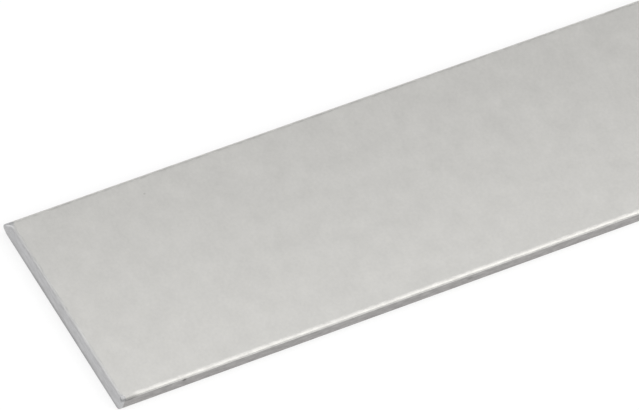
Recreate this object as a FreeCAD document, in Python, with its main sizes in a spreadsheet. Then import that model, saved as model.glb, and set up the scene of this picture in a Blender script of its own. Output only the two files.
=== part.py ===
import FreeCAD, Part
import math
import os
import Sketcher

# Metal flat bar: one length of extruded aluminium flat, sawn off at both ends.
#
# X runs along the bar, Y across its width and Z up through its thickness. The bar is
# modelled about its own middle and then placed on the floor, so that the part's origin
# is the middle of the underside.

# Each driving dimension: its alias, its value in millimetres, and what it measures
SIZES = (
    ("bar_length", 1000.0, "length between the two cut ends"),
    ("bar_width", 25.0, "width of the section"),
    ("bar_thickness", 2.0, "thickness of the section"),
    ("long_edge_radius", 0.35, "radius that the die leaves on the four long edges"),
    ("cut_edge_radius", 0.3, "radius filed on the upper and lower edge of a cut end"),
    ("cut_corner_radius", 0.15, "radius left on the upright corners of a cut end"),
)

PIECE_NAME = "flat_bar"
PARTS_FOLDER = "parts"

# How a sketch numbers the two ends of a line or an arc, and its own origin
START, END = 1, 2
ORIGIN = (-1, 1)

QUARTER_TURN = math.pi / 2


def add_sizes(doc):
    """Writes the driving dimensions to a spreadsheet, one row and one alias each."""
    sheet = doc.addObject("Spreadsheet::Sheet", "sizes")
    for row, (alias, value, meaning) in enumerate(SIZES, start=1):
        sheet.set(f"A{row}", meaning)
        sheet.set(f"B{row}", str(value))
        sheet.setAlias(f"B{row}", alias)
    doc.recompute()
    return sheet


def origin_plane(body, role):
    """Returns the body's origin plane of that role, such as YZ_Plane."""
    return next(item for item in body.Origin.OriginFeatures if item.Role == role)


def add_sketch(body, name, role):
    """Adds an empty sketch to the body, flat on one of its origin planes."""
    sketch = body.newObject("Sketcher::SketchObject", name)
    sketch.AttachmentSupport = [(origin_plane(body, role), "")]
    sketch.MapMode = "FlatFace"
    return sketch


def add_line(sketch, start, end):
    """Adds a line between two (x, y) points and returns its number."""
    line = Part.LineSegment(FreeCAD.Vector(*start), FreeCAD.Vector(*end))
    return sketch.addGeometry(line, False)


def add_quarter(sketch, centre, radius, start_angle):
    """Adds a quarter circle, anticlockwise from its start angle, and returns its number."""
    circle = Part.Circle(FreeCAD.Vector(*centre), FreeCAD.Vector(0, 0, 1), radius)
    arc = Part.ArcOfCircle(circle, start_angle, start_angle + QUARTER_TURN)
    return sketch.addGeometry(arc, False)


def constrain(sketch, *rule):
    """Adds one geometric constraint."""
    sketch.addConstraint(Sketcher.Constraint(*rule))


def dimension(sketch, name, expression, *rule):
    """Adds one dimension under a name, and binds it to the driving dimensions."""
    index = sketch.addConstraint(Sketcher.Constraint(*rule))
    sketch.renameConstraint(index, name)
    sketch.setExpression(f"Constraints.{name}", expression)


def draw_section(body, sheet):
    """Draws the bar's section: a rectangle with rounded corners about the origin."""
    sketch = add_sketch(body, "section", "YZ_Plane")
    width = sheet.bar_width
    thickness = sheet.bar_thickness
    radius = sheet.long_edge_radius
    side = width / 2
    top = thickness / 2
    flat_y = side - radius
    flat_z = top - radius

    # Anticlockwise from the underside: each flat ends where the next rounding starts
    lower = add_line(sketch, (-flat_y, -top), (flat_y, -top))
    right = add_line(sketch, (side, -flat_z), (side, flat_z))
    upper = add_line(sketch, (flat_y, top), (-flat_y, top))
    left = add_line(sketch, (-side, flat_z), (-side, -flat_z))
    flats = (lower, right, upper, left)
    centres = ((flat_y, -flat_z), (flat_y, flat_z), (-flat_y, flat_z), (-flat_y, -flat_z))
    roundings = [
        add_quarter(sketch, centre, radius, (turn - 1) * QUARTER_TURN)
        for turn, centre in enumerate(centres)
    ]

    for flat, rounding, next_flat in zip(flats, roundings, flats[1:] + flats[:1]):
        constrain(sketch, "Tangent", flat, END, rounding, START)
        constrain(sketch, "Tangent", rounding, END, next_flat, START)
    for rounding in roundings[1:]:
        constrain(sketch, "Equal", roundings[0], rounding)
    for flat in (lower, upper):
        constrain(sketch, "Horizontal", flat)
    for flat in (left, right):
        constrain(sketch, "Vertical", flat)
    constrain(sketch, "Symmetric", lower, START, upper, START, *ORIGIN)

    from_left = ("DistanceX", left, START, right, START, width)
    from_below = ("DistanceY", lower, START, upper, START, thickness)
    dimension(sketch, "width", "sizes.bar_width", *from_left)
    dimension(sketch, "thickness", "sizes.bar_thickness", *from_below)
    dimension(sketch, "radius", "sizes.long_edge_radius", "Radius", roundings[0], radius)
    return sketch


def extrude_bar(body, section):
    """Extrudes the section along X, half the length each way."""
    bar = body.newObject("PartDesign::Pad", "extruded_bar")
    bar.Profile = section
    bar.SideType = "Symmetric"
    bar.setExpression("Length", "sizes.bar_length")
    return bar


def draw_corner_waste(body, sheet, name, role, across, up, rounding):
    """Draws what rounding takes off a square corner: the sliver outside the arc.

    across and up are the aliases of the two overall sizes that meet at the corner, along
    the plane's own x and y, and rounding is the alias of the radius.
    """
    sketch = add_sketch(body, name, role)
    x = getattr(sheet, across) / 2
    y = getattr(sheet, up) / 2
    radius = getattr(sheet, rounding)
    rising = add_line(sketch, (x, y - radius), (x, y))
    level = add_line(sketch, (x, y), (x - radius, y))
    arc = add_quarter(sketch, (x - radius, y - radius), radius, 0)

    constrain(sketch, "Coincident", rising, END, level, START)
    constrain(sketch, "Tangent", rising, START, arc, START)
    constrain(sketch, "Tangent", level, END, arc, END)
    constrain(sketch, "Vertical", rising)
    constrain(sketch, "Horizontal", level)
    dimension(sketch, "corner_x", f"sizes.{across} / 2", "DistanceX", *ORIGIN, rising, END, x)
    dimension(sketch, "corner_y", f"sizes.{up} / 2", "DistanceY", *ORIGIN, rising, END, y)
    dimension(sketch, "radius", f"sizes.{rounding}", "Radius", arc, radius)
    return sketch


def cut_all_corners(body, name, waste, mirror_roles):
    """Cuts the waste right through the bar, and mirrors the cut in two origin planes."""
    cut = body.newObject("PartDesign::Pocket", f"{name}_first")
    cut.Profile = waste
    cut.Type = "ThroughAll"
    cut.SideType = "Symmetric"
    body.Document.recompute()

    mirrors = []
    for role in mirror_roles:
        mirror = body.newObject("PartDesign::Mirrored", f"{name}_in_{role}")
        mirror.MirrorPlane = (origin_plane(body, role), [""])
        mirrors.append(mirror)
    rounded = body.newObject("PartDesign::MultiTransform", name)
    rounded.Originals = [cut]
    rounded.Transformations = mirrors
    body.Tip = rounded
    body.Document.recompute()
    return rounded


def make_flat_bar(doc, sheet):
    """Builds the bar: extruded, sawn off square, then the edges of its cut ends filed."""
    body = doc.addObject("PartDesign::Body", PIECE_NAME)
    body.Label = PIECE_NAME
    bar = extrude_bar(body, draw_section(body, sheet))
    edge_waste = draw_corner_waste(
        body, sheet, "edge_waste", "XZ_Plane", "bar_length", "bar_thickness", "cut_edge_radius"
    )
    filed = cut_all_corners(body, "filed_edges", edge_waste, ("XY_Plane", "YZ_Plane"))
    corner_waste = draw_corner_waste(
        body, sheet, "corner_waste", "XY_Plane", "bar_length", "bar_width", "cut_corner_radius"
    )
    finished = cut_all_corners(body, "eased_corners", corner_waste, ("XZ_Plane", "YZ_Plane"))
    body.setExpression("Placement.Base.z", "sizes.bar_thickness / 2")
    doc.recompute()
    return body, (bar, filed, finished)


def check(doc, body, steps):
    """Stops if an object failed, a cut took nothing off, or the bar is not one solid."""
    for item in doc.Objects:
        if "Invalid" in item.State or "Error" in item.State:
            raise RuntimeError(f"{item.Name} is {item.State}")
    for before, after in zip(steps, steps[1:]):
        if after.Shape.Volume >= before.Shape.Volume:
            raise RuntimeError(f"{after.Name} took nothing off {before.Name}")
    if body.Shape.isNull() or not body.Shape.isValid() or len(body.Shape.Solids) != 1:
        raise RuntimeError(f"{body.Label} is not one valid solid")


def export(body):
    """Writes the piece to its STEP file and prints its size."""
    os.makedirs(PARTS_FOLDER, exist_ok=True)
    body.Shape.exportStep(os.path.join(PARTS_FOLDER, f"{body.Label}.step"))
    box = body.Shape.BoundBox
    print(f"{body.Label}: {box.XLength:.3f} x {box.YLength:.3f} x {box.ZLength:.3f} mm")
    print(f"underside at {box.ZMin:.3f} mm, volume {body.Shape.Volume:.1f} mm3")


doc = FreeCAD.newDocument("metal_flat_bar")
sheet = add_sizes(doc)
flat_bar, steps = make_flat_bar(doc, sheet)
check(doc, flat_bar, steps)
export(flat_bar)
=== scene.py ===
"""Studio scene of a metal flat bar: extruded aluminium, natural anodised, sawn to a metre.

Lengths are in metres in the part's own frame: X runs along the bar, Y across it and Z up,
and the origin is the middle of the underside. A size that would be read off a drawing is
written in millimetres inside mm().
"""

import logging
import math
from dataclasses import dataclass
from enum import Enum

import bpy
from mathutils import Matrix, Vector


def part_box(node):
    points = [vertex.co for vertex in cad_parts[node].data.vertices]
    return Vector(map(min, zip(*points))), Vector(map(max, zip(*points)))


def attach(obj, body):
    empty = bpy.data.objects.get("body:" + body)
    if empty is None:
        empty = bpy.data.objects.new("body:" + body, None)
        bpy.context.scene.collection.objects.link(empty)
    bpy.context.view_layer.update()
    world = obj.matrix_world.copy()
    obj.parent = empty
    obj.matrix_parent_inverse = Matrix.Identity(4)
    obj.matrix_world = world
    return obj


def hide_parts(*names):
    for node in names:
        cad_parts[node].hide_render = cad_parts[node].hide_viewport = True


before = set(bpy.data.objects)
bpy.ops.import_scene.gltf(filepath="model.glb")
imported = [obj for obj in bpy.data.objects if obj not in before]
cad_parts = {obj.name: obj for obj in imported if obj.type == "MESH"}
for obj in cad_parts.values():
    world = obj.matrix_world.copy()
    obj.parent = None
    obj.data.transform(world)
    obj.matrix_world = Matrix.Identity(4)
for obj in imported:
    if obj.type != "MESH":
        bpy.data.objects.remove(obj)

LOG = logging.getLogger("flat_bar_scene")
NODE = "flat_bar"
BODY = "root"
PIECE = "dressed_flat_bar"
FLOOR = "studio_floor"

# Name of the texture map that the bar's skin is laid out in
MAP_LAYER = "OFBake"

# Natural anodising leaves aluminium silver, and a little warmer than the bare metal
ANODISED_SILVER = "#CDCCC9"

QUARTER_TURN = math.radians(90)

Colour = tuple[float, float, float, float]
Point = tuple[float, float, float]


def mm(value: float) -> float:
    """Returns a length given in millimetres as metres."""
    return value / 1000.0


def per_mm(size: float) -> float:
    """Returns the texture scale at which a pattern's features are that many millimetres."""
    return 1.0 / mm(size)


def linear(hex_colour: str) -> Colour:
    """Turns an sRGB hex colour into Blender's linear colour.

    Args:
        hex_colour: Six hex digits after a hash, such as "#D4D2CD".

    Returns:
        Linear red, green and blue, with an alpha of one.
    """
    channels = []
    for start in (1, 3, 5):
        value = int(hex_colour[start:start + 2], 16) / 255
        # The sRGB curve is a straight line for the darkest values and a power above them
        channels.append(value / 12.92 if value <= 0.04045 else ((value + 0.055) / 1.055) ** 2.4)
    return (*channels, 1.0)


def add_node(
    tree: bpy.types.NodeTree,
    kind: str,
    settings: dict[str, object] | None = None,
    inputs: dict[str | int, object] | None = None,
) -> bpy.types.Node:
    """Adds a node to a tree with its settings and links.

    Args:
        tree: The node tree.
        kind: Blender's name for the kind of node.
        settings: The node's own properties, by name.
        inputs: What each input gets, by name or number: an output to link, or a value.

    Returns:
        The new node.
    """
    node = tree.nodes.new(kind)
    for name, value in (settings or {}).items():
        setattr(node, name, value)
    for key, value in (inputs or {}).items():
        if isinstance(value, bpy.types.NodeSocket):
            tree.links.new(value, node.inputs[key])
        else:
            node.inputs[key].default_value = value
    return node


def empty_tree(owner: bpy.types.Material | bpy.types.World) -> bpy.types.NodeTree:
    """Switches a material's or the world's nodes on and clears them away.

    Args:
        owner: The material or world.

    Returns:
        Its empty node tree.
    """
    owner.use_nodes = True
    owner.node_tree.nodes.clear()
    return owner.node_tree


def add_object(name: str, data: bpy.types.ID) -> bpy.types.Object:
    """Makes an object and links it to the scene.

    Args:
        name: The object's name.
        data: Its mesh, light or camera.

    Returns:
        The object.
    """
    item = bpy.data.objects.new(name, data)
    bpy.context.scene.collection.objects.link(item)
    return item


class Surface(Enum):
    """The four kinds of surface on the bar, and each one's material slot on the mesh."""

    FACE = 0
    ARRIS = 1
    SIDE = 2
    CUT_END = 3


@dataclass(frozen=True)
class MarkOrPaintedShade:
    """A small mark on the bar, or painted shade on it: where it is, how far it reaches and how
    dark it is.

    Attributes:
        centre: Its middle, in millimetres in the part's frame.
        reach: Its half sizes along X, Y and Z, in millimetres.
        shade: How much of the surface's colour it takes away at its middle.
        dent: How far, and which way, it moves the surface at its middle, in millimetres.
        core: What share of its reach is as dark as its middle.
    """

    centre: Point
    reach: Point
    shade: float = 0.0
    dent: Point = (0.0, 0.0, 0.0)
    core: float = 0.2

    def shift(self, point: Vector) -> Vector:
        """Moves a point of the surface: in for a dent, out for a burr.

        Args:
            point: The point, in metres.

        Returns:
            Where the point ends up: moved most at the middle, and not at all past the rim.
        """
        offsets = [
            (value / mm(1) - middle) / half
            for value, middle, half in zip(point, self.centre, self.reach)
        ]
        share = max(0.0, 1.0 - sum(offset * offset for offset in offsets)) ** 2
        return point + Vector([mm(depth) * share for depth in self.dent])

    def mask(self, tree: bpy.types.NodeTree, place: bpy.types.NodeSocket) -> bpy.types.NodeSocket:
        """Draws the mark as a mask in a material.

        Args:
            tree: The material's node tree.
            place: The surface's place in the part's frame.

        Returns:
            What share of the colour stays: one off the mark.
        """
        offset = add_node(
            tree, "ShaderNodeVectorMath", {"operation": "SUBTRACT"},
            {0: place, 1: [mm(value) for value in self.centre]},
        )
        scaled = add_node(
            tree, "ShaderNodeVectorMath", {"operation": "DIVIDE"},
            {0: offset.outputs[0], 1: [mm(value) for value in self.reach]},
        )
        distance = add_node(
            tree, "ShaderNodeVectorMath", {"operation": "LENGTH"}, {0: scaled.outputs[0]}
        )
        kept = add_node(
            tree, "ShaderNodeMapRange", {"interpolation_type": "SMOOTHSTEP"},
            {
                "Value": distance.outputs["Value"],
                "From Min": self.core, "From Max": 1.0,
                "To Min": 1.0 - self.shade, "To Max": 1.0,
            },
        )
        return kept.outputs[0]


# A burr that the saw drew out at the far corner; painted shade on the near edge up to its
# corner, where its highlight is dimmer; a nick in that edge, dented and darkened with painted
# shade; a scuff on the near side; a dark speck in the upper face; and painted shade along
# the lower edge of the cut
MARKS_AND_PAINTED_SHADE = (
    MarkOrPaintedShade(centre=(-500.0, 12.4, 1.9), reach=(0.9, 0.8, 1.95), dent=(-0.6, 0.0, 0.0)),
    # Painted shade on the near edge by its corner, dimming its highlight there
    MarkOrPaintedShade(centre=(-499.1, -12.5, 1.75), reach=(2.0, 0.7, 0.42), shade=0.42),
    # A nick: a real dent, darkened with painted shade
    MarkOrPaintedShade(
        centre=(-492.1, -12.45, 1.48), reach=(0.38, 0.34, 0.32), shade=0.5,
        dent=(0.0, 0.06, -0.03),
    ),
    MarkOrPaintedShade(centre=(-456.0, -12.5, 1.15), reach=(0.6, 0.2, 0.3), shade=0.3),
    MarkOrPaintedShade(centre=(-484.3, 10.15, 2.0), reach=(0.2, 0.16, 0.2), shade=0.2),
    # Painted shade: darker towards the bottom of the cut end
    MarkOrPaintedShade(centre=(-500.0, 0.0, 0.05), reach=(0.6, 20.0, 0.7), shade=0.3),
)


@dataclass(frozen=True)
class Finish:
    """What every finish of the bar shares: a metal whose colour and gloss vary a little.

    Attributes:
        name: The material's name.
        colour: sRGB hex of the plain surface.
        variation: How much of the colour the pattern takes away or adds, at most.
        roughness: Roughness of the plain surface.
        roughness_variation: How far the pattern moves the roughness.
        relief: Height of the pattern's relief in millimetres.
    """

    name: str
    colour: str
    variation: float
    roughness: float
    roughness_variation: float
    relief: float

    def pattern(
        self, tree: bpy.types.NodeTree, place: bpy.types.NodeSocket
    ) -> bpy.types.NodeSocket:
        """Draws the surface's pattern.

        Args:
            tree: The material's node tree.
            place: The surface's place in the part's frame.

        Returns:
            The pattern, from nought to one, with a half where the surface is plain.
        """
        raise NotImplementedError

    def tint(
        self, tree: bpy.types.NodeTree, place: bpy.types.NodeSocket
    ) -> bpy.types.NodeSocket:
        """Gives the plain surface's colour, unless a finish mixes it from two.

        Args:
            tree: The material's node tree.
            place: The surface's place in the part's frame.

        Returns:
            The colour.
        """
        return add_node(
            tree, "ShaderNodeCombineColor", {},
            dict(zip(("Red", "Green", "Blue"), linear(self.colour))),
        ).outputs[0]

    def build(self) -> bpy.types.Material:
        """Makes the material.

        Returns:
            The finished material.
        """
        material = bpy.data.materials.new(self.name)
        tree = empty_tree(material)
        place = add_node(tree, "ShaderNodeTexCoord").outputs["Object"]
        pattern = self.pattern(tree, place)

        brightness = add_node(
            tree, "ShaderNodeMapRange", {"clamp": False},
            {
                "Value": pattern,
                "To Min": 1.0 - self.variation, "To Max": 1.0 + self.variation,
            },
        ).outputs[0]
        # Marks darken the colour here, and so does painted shade by the near corner, in the nick
        # and along the lower edge of the cut
        for mark_or_shade in MARKS_AND_PAINTED_SHADE:
            if mark_or_shade.shade:
                brightness = add_node(
                    tree, "ShaderNodeMath", {"operation": "MULTIPLY"},
                    {0: brightness, 1: mark_or_shade.mask(tree, place)},
                ).outputs[0]
        colour = add_node(
            tree, "ShaderNodeVectorMath", {"operation": "SCALE"},
            {0: self.tint(tree, place), "Scale": brightness},
        ).outputs[0]
        roughness = add_node(
            tree, "ShaderNodeMapRange", {},
            {
                "Value": pattern,
                "To Min": self.roughness - self.roughness_variation,
                "To Max": self.roughness + self.roughness_variation,
            },
        ).outputs[0]
        bump = add_node(
            tree, "ShaderNodeBump", {},
            {"Strength": 1.0, "Distance": mm(self.relief), "Height": pattern},
        ).outputs[0]
        shader = add_node(
            tree, "ShaderNodeBsdfPrincipled", {},
            {"Base Color": colour, "Metallic": 1.0, "Roughness": roughness, "Normal": bump},
        )
        add_node(tree, "ShaderNodeOutputMaterial", {}, {"Surface": shader.outputs[0]})
        return material


@dataclass(frozen=True)
class AnodisedFace(Finish):
    """Natural anodised aluminium, etched first: an even warm silver with a fine matte grain.

    The etch leaves pits a few hundredths of a millimetre wide, which are too fine to show.
    They are drawn as coarse as they need to be, and drift in soft patches.

    Attributes:
        grain: Width of a drawn pit, in millimetres.
        patch: Width of a patch, in millimetres.
        patch_share: What share of the pattern the patches make up.
    """

    name: str = "natural_anodised_aluminium"
    colour: str = ANODISED_SILVER
    variation: float = 0.14
    roughness: float = 0.45
    roughness_variation: float = 0.05
    relief: float = 0.0015
    grain: float = 0.35
    patch: float = 2.5
    patch_share: float = 0.55

    def pattern(
        self, tree: bpy.types.NodeTree, place: bpy.types.NodeSocket
    ) -> bpy.types.NodeSocket:
        """Draws the etched grain over soft patches.

        Args:
            tree: The material's node tree.
            place: The surface's place in the part's frame.

        Returns:
            The pattern, from nought to one.
        """
        grain = add_node(
            tree, "ShaderNodeTexNoise", {},
            {"Vector": place, "Scale": per_mm(self.grain), "Detail": 2.0, "Roughness": 0.6},
        )
        patches = add_node(
            tree, "ShaderNodeTexNoise", {},
            {"Vector": place, "Scale": per_mm(self.patch), "Detail": 3.0, "Roughness": 0.6},
        )
        # A mix node takes its share at 0, and two numbers at 2 and 3
        mixed = add_node(
            tree, "ShaderNodeMix", {"data_type": "FLOAT"},
            {0: self.patch_share, 2: grain.outputs[0], 3: patches.outputs[0]},
        )
        return mixed.outputs[0]


@dataclass(frozen=True)
class StreakedFinish(Finish):
    """A finish whose pattern is drawn out along one direction.

    Attributes:
        streak: Size of a streak along X, Y and Z, in millimetres.
    """

    streak: Point

    def pattern(
        self, tree: bpy.types.NodeTree, place: bpy.types.NodeSocket
    ) -> bpy.types.NodeSocket:
        """Draws the streaks.

        Args:
            tree: The material's node tree.
            place: The surface's place in the part's frame.

        Returns:
            The pattern, from nought to one.
        """
        stretched = add_node(
            tree, "ShaderNodeVectorMath", {"operation": "MULTIPLY"},
            {0: place, 1: [per_mm(size) for size in self.streak]},
        )
        streaks = add_node(
            tree, "ShaderNodeTexNoise", {},
            {"Vector": stretched.outputs[0], "Scale": 1.0, "Detail": 3.0, "Roughness": 0.7},
        )
        return streaks.outputs[0]


@dataclass(frozen=True)
class RubbedArris(StreakedFinish):
    """Anodised aluminium on the rounded long edges: the face's own, rubbed by handling.

    The rubbing leaves short patches along the edge that break its highlight up.
    """

    name: str = "rubbed_anodised_arris"
    colour: str = ANODISED_SILVER
    variation: float = 0.32
    roughness: float = 0.45
    roughness_variation: float = 0.08
    relief: float = 0.003
    streak: Point = (1.1, 0.4, 0.4)


@dataclass(frozen=True)
class DrawnSideWithPaintedShade(StreakedFinish):
    """Narrow sides of anodised aluminium, streaked where the die drags, and darker by painted
    shade.

    Lines from a die are finer than these and run on for the whole length. They are drawn as
    wide as they need to be to show, and broken up into short streaks.
    """

    name: str = "die_drawn_side_painted_shade"
    # Painted shade makes the sides darker than the face
    colour: str = "#A19F9E"
    variation: float = 0.52
    roughness: float = 0.5
    roughness_variation: float = 0.06
    relief: float = 0.002
    streak: Point = (1.1, 0.35, 0.35)


@dataclass(frozen=True, kw_only=True)
class SawnEnd(StreakedFinish):
    """Bare aluminium where a saw went through: cooler, and lined across by its teeth.

    The tooth lines are a tenth of a millimetre or so apart. On the end they are drawn three
    times as coarse, so that they show. Over the rounding that the file left, the colour runs
    into the face's lighter own, but not at the corners: painted light where the rounding turns
    up.

    Attributes:
        face_colour: sRGB hex of the face that the rounding leads to.
        half_length: Half the bar's length.
        half_width: Half the bar's width.
        reach: How far in from the end the face's colour is back. The corners keep the sawn
            colour over the same width.
    """

    name: str = "sawn_bare_aluminium"
    colour: str = "#BBBBBC"
    variation: float = 0.34
    roughness: float = 0.42
    roughness_variation: float = 0.08
    relief: float = 0.004
    streak: Point = (0.14, 1.1, 0.3)
    face_colour: str = ANODISED_SILVER
    half_length: float
    half_width: float
    reach: float

    def tint(
        self, tree: bpy.types.NodeTree, place: bpy.types.NodeSocket
    ) -> bpy.types.NodeSocket:
        """Mixes the sawn colour with the face's colour over the rounding, as painted light.

        Args:
            tree: The material's node tree.
            place: The surface's place in the part's frame.

        Returns:
            The colour.
        """
        parts = add_node(tree, "ShaderNodeSeparateXYZ", {}, {0: place}).outputs
        along = add_node(tree, "ShaderNodeMath", {"operation": "ABSOLUTE"}, {0: parts["X"]})
        across = add_node(tree, "ShaderNodeMath", {"operation": "ABSOLUTE"}, {0: parts["Y"]})
        # The face's lighter colour over the rounding is painted light
        over_edge = add_node(
            tree, "ShaderNodeMapRange", {},
            {
                "Value": along.outputs[0],
                "From Min": self.half_length, "From Max": self.half_length - self.reach,
            },
        )
        off_corner = add_node(
            tree, "ShaderNodeMapRange", {"interpolation_type": "SMOOTHSTEP"},
            {
                "Value": across.outputs[0],
                "From Min": self.half_width - 2 * self.reach,
                "From Max": self.half_width - self.reach,
                "To Min": 1.0, "To Max": 0.0,
            },
        )
        share = add_node(
            tree, "ShaderNodeMath", {"operation": "MULTIPLY"},
            {0: over_edge.outputs[0], 1: off_corner.outputs[0]},
        )
        # A mix node takes its share at 0 and two colours at 6 and 7, and gives theirs at 2
        return add_node(
            tree, "ShaderNodeMix", {"data_type": "RGBA"},
            {0: share.outputs[0], 6: linear(self.colour), 7: linear(self.face_colour)},
        ).outputs[2]


@dataclass(frozen=True)
class OutlinePoint:
    """One point of the section's outline.

    Attributes:
        y: Its place across the bar.
        z: Its height.
        outward_y: Its outward normal's part across the bar.
        outward_z: Its outward normal's upward part.
        filed: Radius of the rounding there at the cut ends.
        surface: The surface of the stretch that starts at the point.
    """

    y: float
    z: float
    outward_y: float
    outward_z: float
    filed: float
    surface: Surface


@dataclass
class FlatBar:
    """The bar itself: one rounded section run between two filed ends.

    Attributes:
        length: Overall length.
        width: Overall width.
        thickness: Overall thickness.
        long_edge_radius: Radius of the four long edges, where they leave the narrow side.
        runout: How many times that radius is added where the rounding meets the broad face,
            which lets it fade into the face.
        runout_power: How late in the turn it is added: later with a higher power.
        cut_edge_radius: Radius filed on the upper edge of a cut end.
        cut_corner_radius: Radius left on its other edges.
        bared_flat: How far the file ran on from an end along the sides and faces.
        bared_edge: How far it ran along the long edges.
        flat_lean: Sine of the angle that an outward normal may lean and still be a flat's.
        arc_steps: Facets in a quarter turn of an edge.
        guard: How close to a flat's border its next row of points lies. It keeps the
            shading of a flat from bending towards the rounding beside it.
        growth: How much wider each row of points is than the one nearer the border.
        widest_row: Widest row across a flat.
        longest_step: Longest step along the bar.
        closest: Closest that two outlines stand along the bar.
        blemish_steps: Outlines between the middle and the rim of a mark that has a dent.
        map_strips: Strips that the skin is cut into for its texture map.
        map_gap: Space between two strips on the map.
    """

    length: float
    width: float
    thickness: float
    long_edge_radius: float = mm(0.28)
    runout: float = 2.5
    runout_power: int = 4
    cut_edge_radius: float = mm(0.3)
    cut_corner_radius: float = mm(0.15)
    bared_flat: float = mm(0.45)
    bared_edge: float = mm(0.6)
    flat_lean: float = 0.01
    arc_steps: int = 14
    guard: float = mm(0.02)
    growth: float = 1.6
    widest_row: float = mm(3.0)
    longest_step: float = mm(10.0)
    closest: float = mm(0.002)
    blemish_steps: int = 10
    map_strips: int = 4
    map_gap: float = mm(1.0)

    def graded(self, span: float, widest: float) -> list[float]:
        """Divides a span into rows that are finest at both of its borders.

        Args:
            span: Length of the span.
            widest: Widest row.

        Returns:
            Places from nought to span, with both borders.
        """
        places = [0.0]
        step = self.guard
        while places[-1] + step < span / 2:
            places.append(places[-1] + step)
            step = min(step * self.growth, widest)
        return places + [span / 2] + [span - place for place in reversed(places)]

    def rounding(self) -> list[tuple[float, float, float]]:
        """Rolls a long edge over from the narrow side to the broad face.

        Returns:
            (distance in from the narrow side's plane, distance in from the face's plane,
            angle of the outward normal above the side's own) for each point.
        """
        turns = [QUARTER_TURN * step / self.arc_steps for step in range(self.arc_steps + 1)]
        places = [(0.0, 0.0)]
        for before, after in zip(turns, turns[1:]):
            share = (before + after) / 2 / QUARTER_TURN
            radius = self.long_edge_radius * (1 + self.runout * share ** self.runout_power)
            places.append((
                places[-1][0] + radius * (math.cos(before) - math.cos(after)),
                places[-1][1] + radius * (math.sin(after) - math.sin(before)),
            ))
        rise = places[-1][1]
        return [(inward, rise - up, turn) for (inward, up), turn in zip(places, turns)]

    def outline(self) -> list[OutlinePoint]:
        """Draws the section's outline, anticlockwise seen from the right-hand end.

        Returns:
            The points, from the lower right corner round to the end of the underside.
        """
        middle = self.thickness / 2
        rolled = self.rounding()
        corners = (
            (1, -1, list(reversed(rolled)), Surface.SIDE),
            (1, 1, rolled, Surface.FACE),
            (-1, 1, list(reversed(rolled)), Surface.SIDE),
            (-1, -1, rolled, Surface.FACE),
        )
        arcs = [
            [
                OutlinePoint(
                    side * (self.width / 2 - inward), middle + up * (middle - below),
                    side * math.cos(turn), up * math.sin(turn),
                    self.filed_radius(up * math.sin(turn)),
                    # The lower long edges take the sides' darker colour: painted shade
                    Surface.ARRIS if up > 0 else Surface.SIDE,
                )
                for inward, below, turn in points
            ]
            for side, up, points, _ in corners
        ]
        outline = []
        for arc, following, (_, _, _, surface) in zip(arcs, arcs[1:] + arcs[:1], corners):
            start, end = arc[-1], following[0]
            span = math.hypot(end.y - start.y, end.z - start.z)
            outline += arc[:-1]
            for place in self.graded(span, self.widest_row)[:-1]:
                share = place / span
                outline.append(OutlinePoint(
                    start.y + share * (end.y - start.y), start.z + share * (end.z - start.z),
                    start.outward_y, start.outward_z, start.filed, surface,
                ))
        return outline

    def filed_radius(self, outward_z: float) -> float:
        """Says how large the rounding of a cut end is, by how far the outline faces up there.

        Args:
            outward_z: The outward normal's upward part.

        Returns:
            The radius: the corners' own on the sides and below, the full one on top.
        """
        more = self.cut_edge_radius - self.cut_corner_radius
        return self.cut_corner_radius + more * max(0.0, outward_z)

    def stations(self) -> list[float]:
        """Lists where the outline stands along the bar.

        Returns:
            Distances from the left end, in order.
        """
        radius = self.cut_edge_radius
        filed = [
            radius * (1 - math.cos(QUARTER_TURN * step / self.arc_steps))
            for step in range(self.arc_steps + 1)
        ]
        near_end = filed + [self.bared_flat, self.bared_edge]
        plain = [
            radius + place
            for place in self.graded(self.length - 2 * radius, self.longest_step)[1:-1]
        ]
        strips = [self.length * strip / self.map_strips for strip in range(1, self.map_strips)]
        places = near_end + plain + strips + [self.length - place for place in near_end]
        for mark_or_shade in MARKS_AND_PAINTED_SHADE:
            if any(mark_or_shade.dent):
                centre = mm(mark_or_shade.centre[0]) + self.length / 2
                reach = mm(mark_or_shade.reach[0])
                steps = range(-self.blemish_steps, self.blemish_steps + 1)
                places += [centre + reach * step / self.blemish_steps for step in steps]

        # A place is left out past an end, or too close to the one before it or the right end
        kept = [0.0]
        for place in sorted(places):
            if min(place - kept[-1], self.length - place) > self.closest:
                kept.append(place)
        return kept + [self.length]

    @staticmethod
    def inset(from_end: float, radius: float) -> float:
        """Says how far the rounding of a cut end takes the outline in.

        Args:
            from_end: Distance from the nearer end.
            radius: Radius of the rounding.

        Returns:
            How far inside the full section the outline runs.
        """
        if from_end >= radius:
            return 0.0
        return radius - math.sqrt(radius ** 2 - (radius - from_end) ** 2)

    def surface_at(self, point: OutlinePoint, from_end: float) -> Surface:
        """Names the surface of a facet.

        Args:
            point: The outline point that the facet starts at.
            from_end: Distance of the facet's middle from the nearer end.

        Returns:
            The facet's surface.
        """
        on_flat = min(abs(point.outward_y), abs(point.outward_z)) < self.flat_lean
        bare = self.bared_flat if on_flat else self.bared_edge
        return Surface.CUT_END if from_end < bare else point.surface

    def points(self, outline: list[OutlinePoint], stations: list[float]) -> list[Vector]:
        """Stands the outline at each station, rounded off at the ends, with the dents and burr of
        the marks.

        Args:
            outline: The section's outline.
            stations: Distances of the outlines from the left end.

        Returns:
            The points, one outline after another.
        """
        points = []
        for place in stations:
            for point in outline:
                inset = self.inset(min(place, self.length - place), point.filed)
                vertex = Vector((
                    place - self.length / 2,
                    point.y - inset * point.outward_y,
                    point.z - inset * point.outward_z,
                ))
                for mark_or_shade in MARKS_AND_PAINTED_SHADE:
                    vertex = mark_or_shade.shift(vertex)
                points.append(vertex)
        return points

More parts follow.
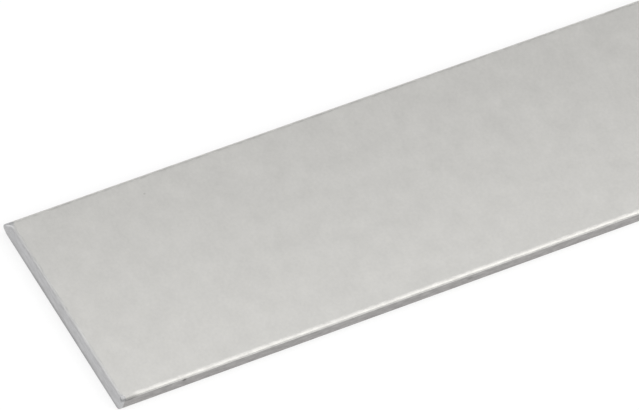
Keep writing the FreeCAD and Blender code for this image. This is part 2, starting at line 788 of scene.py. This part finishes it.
    def skin_facets(
        self, outline: list[OutlinePoint], stations: list[float]
    ) -> tuple[list[tuple[int, ...]], list[Surface]]:
        """Joins each outline to the next.

        Args:
            outline: The section's outline.
            stations: Distances of the outlines from the left end.

        Returns:
            (the numbers of the points round each facet, each facet's surface).
        """
        count = len(outline)
        facets = []
        surfaces = []
        for ring, (before, after) in enumerate(zip(stations, stations[1:])):
            middle = (before + after) / 2
            low, high = ring * count, (ring + 1) * count
            for index, point in enumerate(outline):
                following = (index + 1) % count
                facets.append((low + index, low + following, high + following, high + index))
                surfaces.append(self.surface_at(point, min(middle, self.length - middle)))
        return facets, surfaces

    def build(self) -> bpy.types.Object:
        """Makes the bar's mesh, with its map and the dents and burr of its marks.

        Returns:
            The bar, linked to the scene.
        """
        outline = self.outline()
        stations = self.stations()
        facets, surfaces = self.skin_facets(outline, stations)
        skin = len(facets)
        last = (len(stations) - 1) * len(outline)
        ends = self.end_facets(outline)
        facets += [tuple(reversed(facet)) for facet in ends]
        facets += [tuple(last + index for index in facet) for facet in ends]
        surfaces += [Surface.CUT_END] * (len(facets) - skin)

        mesh = bpy.data.meshes.new(PIECE)
        mesh.from_pydata(self.points(outline, stations), [], facets)
        mesh.polygons.foreach_set("material_index", [surface.value for surface in surfaces])
        mesh.polygons.foreach_set("use_smooth", [facet < skin for facet in range(len(facets))])
        self.lay_out(mesh, outline, stations)
        mesh.update()
        return add_object(PIECE, mesh)

    @staticmethod
    def end_facets(outline: list[OutlinePoint]) -> list[list[int]]:
        """Divides a cut end: a facet at each narrow side, and rows of facets between them.

        Args:
            outline: The section's outline.

        Returns:
            The numbers of the outline points round each facet, anticlockwise seen from the
            right-hand end.
        """
        count = len(outline)
        rows = sum(point.surface is Surface.FACE for point in outline) // 2
        top = count // 2 - rows
        facets = [
            list(range(top + 1)),
            list(range(top + rows, count - rows + 1)),
        ]
        for row in range(rows):
            below = count - row
            facets.append([top + row, top + row + 1, below - 1, below % count])
        return facets

    def lay_out(
        self, mesh: bpy.types.Mesh, outline: list[OutlinePoint], stations: list[float]
    ) -> None:
        """Lays the skin out flat as a texture map: equal strips, then the two ends.

        Args:
            mesh: The bar's mesh.
            outline: The section's outline.
            stations: Distances of the outlines from the left end.
        """
        girth = [0.0]
        for point, following in zip(outline, outline[1:] + outline[:1]):
            girth.append(girth[-1] + math.hypot(following.y - point.y, following.z - point.z))
        strip_length = self.length / self.map_strips
        pitch = girth[-1] + self.map_gap
        side = strip_length + 2 * self.map_gap
        places = []
        for before, after in zip(stations, stations[1:]):
            strip = int((before + after) / 2 / strip_length)
            left, right = before - strip * strip_length, after - strip * strip_length
            for low, high in zip(girth, girth[1:]):
                lower, upper = low + strip * pitch, high + strip * pitch
                places += [(left, lower), (left, upper), (right, upper), (right, lower)]
        ends = self.end_facets(outline)
        for end, facets in enumerate(([facet[::-1] for facet in ends], ends)):
            base = self.map_strips * pitch + end * (self.thickness + self.map_gap)
            for point in [outline[index] for facet in facets for index in facet]:
                places.append((point.y + self.width / 2, base + point.z))
        layer = mesh.uv_layers.new(name=MAP_LAYER)
        layer.data.foreach_set(
            "uv", [(value + self.map_gap) / side for place in places for value in place]
        )

    def dress(self, bar: bpy.types.Object) -> None:
        """Gives each surface of the bar its finish.

        Args:
            bar: The bar's object.
        """
        finishes = {
            Surface.FACE: AnodisedFace(),
            Surface.ARRIS: RubbedArris(),
            Surface.SIDE: DrawnSideWithPaintedShade(),
            Surface.CUT_END: SawnEnd(
                half_length=self.length / 2, half_width=self.width / 2,
                reach=self.bared_flat,
            ),
        }
        for surface in Surface:
            bar.data.materials.append(finishes[surface].build())


@dataclass(frozen=True)
class Lamp:
    """A soft rectangular lamp that looks at a point.

    Attributes:
        name: The lamp's name.
        place: Its middle.
        target: The point that it looks at.
        length: Its longer size.
        depth: Its other size.
        radiance: How bright its surface is, where one looks white.
        colour: sRGB hex of its light.
        turn: Degrees that its longer side is turned from X, anticlockwise from above.
    """

    name: str
    place: Point
    target: Point
    length: float
    depth: float
    radiance: float
    colour: str = "#FFFFFF"
    turn: float = 0.0

    def build(self) -> bpy.types.Object:
        """Hangs the lamp, which the camera itself doesn't see.

        Returns:
            The lamp.
        """
        light = bpy.data.lights.new(self.name, "AREA")
        light.shape = "RECTANGLE"
        light.size = self.length
        light.size_y = self.depth
        light.color = linear(self.colour)[:3]
        # A flat lamp's power is pi times its radiance times its area
        light.energy = self.radiance * math.pi * self.length * self.depth
        lamp = add_object(self.name, light)
        back = (Vector(self.place) - Vector(self.target)).normalized()
        along = Matrix.Rotation(math.radians(self.turn), 3, "Z") @ Vector((1.0, 0.0, 0.0))
        up = back.cross(along).normalized()
        turned = Matrix((up.cross(back), up, back)).transposed().to_4x4()
        lamp.matrix_world = Matrix.Translation(self.place) @ turned
        lamp.visible_camera = False
        return lamp


@dataclass
class Studio:
    """A pale floor without an edge in sight, and soft light all round.

    Attributes:
        floor_size: Side of the floor, far beyond what any camera sees.
        floor_colour: sRGB hex of the floor.
        whitening: How far the floor shows as plain white, which leaves the rest of it to
            show the bar's shadow.
        sky_colour: sRGB hex of the light all round.
        sky_strength: Its level, where one renders a colour as it is written.
    """

    floor_size: float = 400.0
    floor_colour: str = "#FCFCFC"
    whitening: float = 0.7
    sky_colour: str = "#FFFFFF"
    sky_strength: float = 0.6

    def seen_directly(self, tree: bpy.types.NodeTree) -> bpy.types.NodeSocket:
        """Tells the rays that show the floor, in the picture, in metal or through glass.

        Args:
            tree: The floor's node tree.

        Returns:
            One for such a ray, and nought for the light that the floor gives off.
        """
        path = add_node(tree, "ShaderNodeLightPath").outputs
        either = add_node(
            tree, "ShaderNodeMath", {"operation": "MAXIMUM"},
            {0: path["Is Camera Ray"], 1: path["Is Glossy Ray"]},
        )
        return add_node(
            tree, "ShaderNodeMath", {"operation": "MAXIMUM"},
            {0: either.outputs[0], 1: path["Is Transmission Ray"]},
        ).outputs[0]

    def build_floor(self) -> bpy.types.Object:
        """Lays the floor that the bar lies on.

        Returns:
            The floor.
        """
        half = self.floor_size / 2
        corners = [(-half, -half, 0.0), (half, -half, 0.0), (half, half, 0.0), (-half, half, 0.0)]
        mesh = bpy.data.meshes.new(FLOOR)
        mesh.from_pydata(corners, [], [(0, 1, 2, 3)])
        floor = add_object(FLOOR, mesh)
        material = bpy.data.materials.new("matte_white_board")
        tree = empty_tree(material)
        board = add_node(
            tree, "ShaderNodeBsdfDiffuse", {}, {"Color": linear(self.floor_colour)}
        ).outputs[0]
        white = add_node(tree, "ShaderNodeEmission", {}, {"Strength": 1.0}).outputs[0]
        share = add_node(
            tree, "ShaderNodeMath", {"operation": "MULTIPLY"},
            {0: self.seen_directly(tree), 1: self.whitening},
        ).outputs[0]
        shader = add_node(tree, "ShaderNodeMixShader", {}, {0: share, 1: board, 2: white})
        add_node(tree, "ShaderNodeOutputMaterial", {}, {"Surface": shader.outputs[0]})
        mesh.materials.append(material)
        return floor

    def build_sky(self) -> None:
        """Sets the even light that comes from all round."""
        world = bpy.data.worlds.new("studio_light")
        bpy.context.scene.world = world
        tree = empty_tree(world)
        light = add_node(
            tree, "ShaderNodeBackground", {},
            {"Color": linear(self.sky_colour), "Strength": self.sky_strength},
        )
        add_node(tree, "ShaderNodeOutputWorld", {}, {"Surface": light.outputs[0]})


# The overhead softbox gives most of the light at the left end, on the face and on the near
# edge. The front one brightens that edge further, and the two cards fill in a little.
LAMPS = (
    Lamp(
        name="front_softbox",
        place=(0.29, -0.29, 0.4), target=(0.29, 0.0, 0.0),
        length=0.94, depth=0.46, radiance=1.12, colour="#FFFCF4",
    ),
    Lamp(
        name="overhead_softbox",
        place=(-0.446, -0.162, 0.12), target=(-0.446, -0.162, 0.0),
        length=0.6, depth=0.44, radiance=0.77, turn=-8.0,
    ),
    Lamp(
        name="left_card",
        place=(-1.15, 0.35, 0.3), target=(-0.4, 0.0, 0.0),
        length=0.9, depth=0.6, radiance=0.1,
    ),
    Lamp(
        name="back_card",
        place=(-0.1, 0.9, 0.12), target=(-0.1, 0.0, 0.12),
        length=2.4, depth=0.24, radiance=0.9,
    ),
)


@dataclass
class PhotoCamera:
    """The camera, at the angle from which the photograph looks down on the near end.

    Attributes:
        aim: The point in the middle of the picture, in millimetres in the part's frame.
        azimuth: Degrees round the bar, nought looking along +Y and 90 along -X.
        elevation: Degrees above the floor.
        roll: Degrees that the camera leans to its left.
        distance: Distance from the aim.
        lens: Focal length in millimetres on the sensor's width.
        sensor: Sensor's width in millimetres.
        nearest: How close to it something may be and still be seen.
        view_depth: How far it sees, in multiples of its distance.
    """

    aim: Point = (-467.068, 1.667, 2.0)
    azimuth: float = -45.381
    elevation: float = 52.065
    roll: float = 19.009
    distance: float = 1.29043
    lens: float = 676.06
    sensor: float = 36.0
    nearest: float = 0.01
    view_depth: float = 1000.0

    def build(self) -> bpy.types.Object:
        """Sets up the camera and makes it the scene's.

        Returns:
            The camera.
        """
        data = bpy.data.cameras.new("photo_camera")
        data.lens = self.lens
        data.sensor_width = self.sensor
        data.clip_start = self.nearest
        data.clip_end = self.distance * self.view_depth
        camera = add_object("photo_camera", data)
        turn = (
            Matrix.Rotation(math.radians(self.azimuth), 4, "Z")
            @ Matrix.Rotation(math.radians(90 - self.elevation), 4, "X")
            @ Matrix.Rotation(math.radians(self.roll), 4, "Z")
        )
        aim = Vector([mm(value) for value in self.aim])
        camera.matrix_world = (
            Matrix.Translation(aim) @ turn @ Matrix.Translation((0.0, 0.0, self.distance))
        )
        bpy.context.scene.camera = camera
        return camera


def main() -> None:
    logging.basicConfig(level=logging.INFO, format="%(name)s: %(message)s")
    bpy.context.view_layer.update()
    bpy.context.scene.view_settings.view_transform = "Standard"
    camera = PhotoCamera().build()
    LOG.info("%s: %.0f mm lens", camera.name, camera.data.lens)

    low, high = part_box(NODE)
    bar = FlatBar(length=high[0] - low[0], width=high[1] - low[1], thickness=high[2] - low[2])
    piece = bar.build()
    bar.dress(piece)
    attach(piece, BODY)
    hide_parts(NODE)
    LOG.info("%s: %d faces", piece.name, len(piece.data.polygons))

    studio = Studio()
    floor = studio.build_floor()
    studio.build_sky()
    LOG.info("%s: %.0f m across", floor.name, studio.floor_size)
    for lamp in LAMPS:
        light = lamp.build()
        LOG.info("%s: radiance %.2f", light.name, lamp.radiance)


if __name__ == "__main__":
    main()
